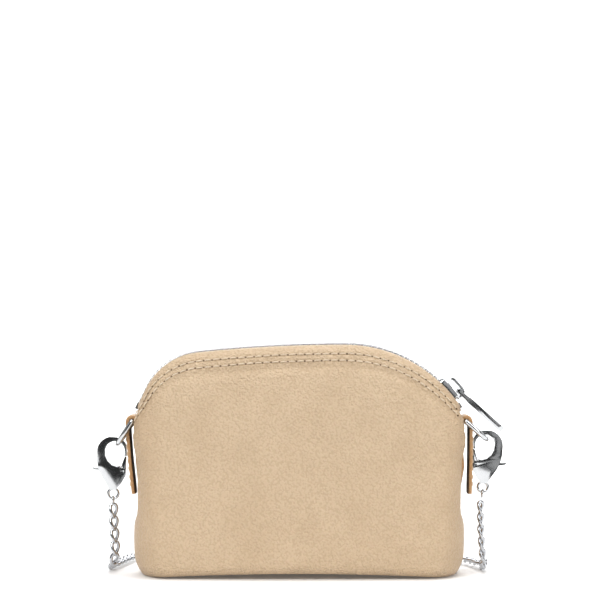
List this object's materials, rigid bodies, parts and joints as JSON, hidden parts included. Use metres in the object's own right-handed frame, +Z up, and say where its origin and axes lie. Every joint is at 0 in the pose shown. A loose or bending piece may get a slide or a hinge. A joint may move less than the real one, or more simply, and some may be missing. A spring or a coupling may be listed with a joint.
{
  "type": "zippered pouch",
  "caption": "Small dome-topped leather pouch with a metal zip, side tabs, D-rings, lobster clasps and a detachable curb-chain shoulder strap.",
  "frame": {"origin": "on the floor under the middle of the pouch's base", "axes": "+X to the right along the pouch's width as seen from the front, -Y towards the front, +Z up"},
  "size_m": [0.1778, 0.1324, 0.0989],
  "materials": {
    "panel_leather": "pebbled grain, satin",
    "tab_leather": "smooth painted edge, raw flesh side",
    "lining": "plain weave",
    "zip_tape": "herringbone tape",
    "zip_teeth": "polished",
    "bright_metal": "polished nickel",
    "chain_metal": "polished nickel"
  },
  "bodies": {
    "pouch": {"front_panel": "panel_leather", "back_panel": "panel_leather", "front_lining": "lining", "back_lining": "lining", "front_tape": "zip_tape", "back_tape": "zip_tape", "front_teeth": "zip_teeth", "back_teeth": "zip_teeth", "top_stops": "bright_metal", "bottom_stop": "bright_metal", "left_tab": "tab_leather", "right_tab": "tab_leather", "chain_drop_left": "chain_metal", "chain_drop_right": "chain_metal", "chain_floor_left": "chain_metal", "chain_floor_right": "chain_metal", "chain_coil": "chain_metal"},
    "front_mouth": {"front_tape_opening": "zip_tape", "front_teeth_opening": "zip_teeth"},
    "back_mouth": {"back_tape_opening": "zip_tape", "back_teeth_opening": "zip_teeth"},
    "slider": {"slider_body": "bright_metal", "slider_bridge": "bright_metal", "slider_lock_spring": "bright_metal"},
    "puller": {"zip_puller": "bright_metal"},
    "left_ring": {"left_d_ring": "bright_metal"},
    "right_ring": {"right_d_ring": "bright_metal"},
    "left_clasp": {"left_clasp_body": "bright_metal", "left_gate_pin": "bright_metal", "left_gate_spring": "bright_metal", "left_end_link": "chain_metal"},
    "right_clasp": {"right_clasp_body": "bright_metal", "right_gate_pin": "bright_metal", "right_gate_spring": "bright_metal", "right_end_link": "chain_metal"},
    "left_gate": {"left_clasp_gate": "bright_metal"},
    "right_gate": {"right_clasp_gate": "bright_metal"}
  },
  "joints": [
    {"name": "slider_travel", "type": "hinge", "parent": "pouch", "child": "slider", "pos_m": [0.0194, 0, 0.0389], "axis": [0, -1, 0], "range_deg": [0, 44], "deforming": ["front_teeth", "back_teeth"]},
    {"name": "front_mouth_open", "type": "hinge", "parent": "pouch", "child": "front_mouth", "pos_m": [0.045, -0.012, 0.066], "axis": [1, 0, 0], "range_deg": [0, 10], "deforming": ["front_tape_opening", "front_teeth_opening"]},
    {"name": "back_mouth_open", "type": "hinge", "parent": "pouch", "child": "back_mouth", "pos_m": [0.045, 0.012, 0.066], "axis": [-1, 0, 0], "range_deg": [0, 10], "deforming": ["back_tape_opening", "back_teeth_opening"]},
    {"name": "puller_swing", "type": "hinge", "parent": "slider", "child": "puller", "pos_m": [0.06885, 0, 0.07771], "axis": [0, -1, 0], "range_deg": [0, 115]},
    {"name": "right_ring_swing", "type": "hinge", "parent": "pouch", "child": "right_ring", "pos_m": [0.0714, 0, 0.065], "axis": [0, 1, 0], "range_deg": [0, 15]},
    {"name": "left_ring_swing", "type": "hinge", "parent": "pouch", "child": "left_ring", "pos_m": [-0.0714, 0, 0.065], "axis": [0, -1, 0], "range_deg": [0, 3]},
    {"name": "right_clasp_swing", "type": "hinge", "parent": "pouch", "child": "right_clasp", "pos_m": [0.08061, 0, 0.057], "axis": [0, -1, 0], "range_deg": [0, 12], "deforming": ["chain_drop_right"]},
    {"name": "left_clasp_swing", "type": "hinge", "parent": "pouch", "child": "left_clasp", "pos_m": [-0.07805, 0, 0.05477], "axis": [0, 1, 0], "range_deg": [0, 10], "deforming": ["chain_drop_left"]},
    {"name": "right_gate_open", "type": "hinge", "parent": "right_clasp", "child": "right_gate", "pos_m": [0.07583, 0, 0.04621], "axis": [0, 1, 0], "range_deg": [0, 20], "stiffness_Nm_per_rad": 0.002, "springref_deg": -11.46, "deforming": ["right_gate_spring"]},
    {"name": "left_gate_open", "type": "hinge", "parent": "left_clasp", "child": "left_gate", "pos_m": [-0.0759, 0, 0.0431], "axis": [0, -1, 0], "range_deg": [0, 20], "stiffness_Nm_per_rad": 0.002, "springref_deg": -11.46, "deforming": ["left_gate_spring"]}
  ],
  "couplings": [
    {"joint": "front_mouth_open", "follows": "slider_travel", "ratio": 0.2272},
    {"joint": "back_mouth_open", "follows": "slider_travel", "ratio": 0.2272}
  ]
}
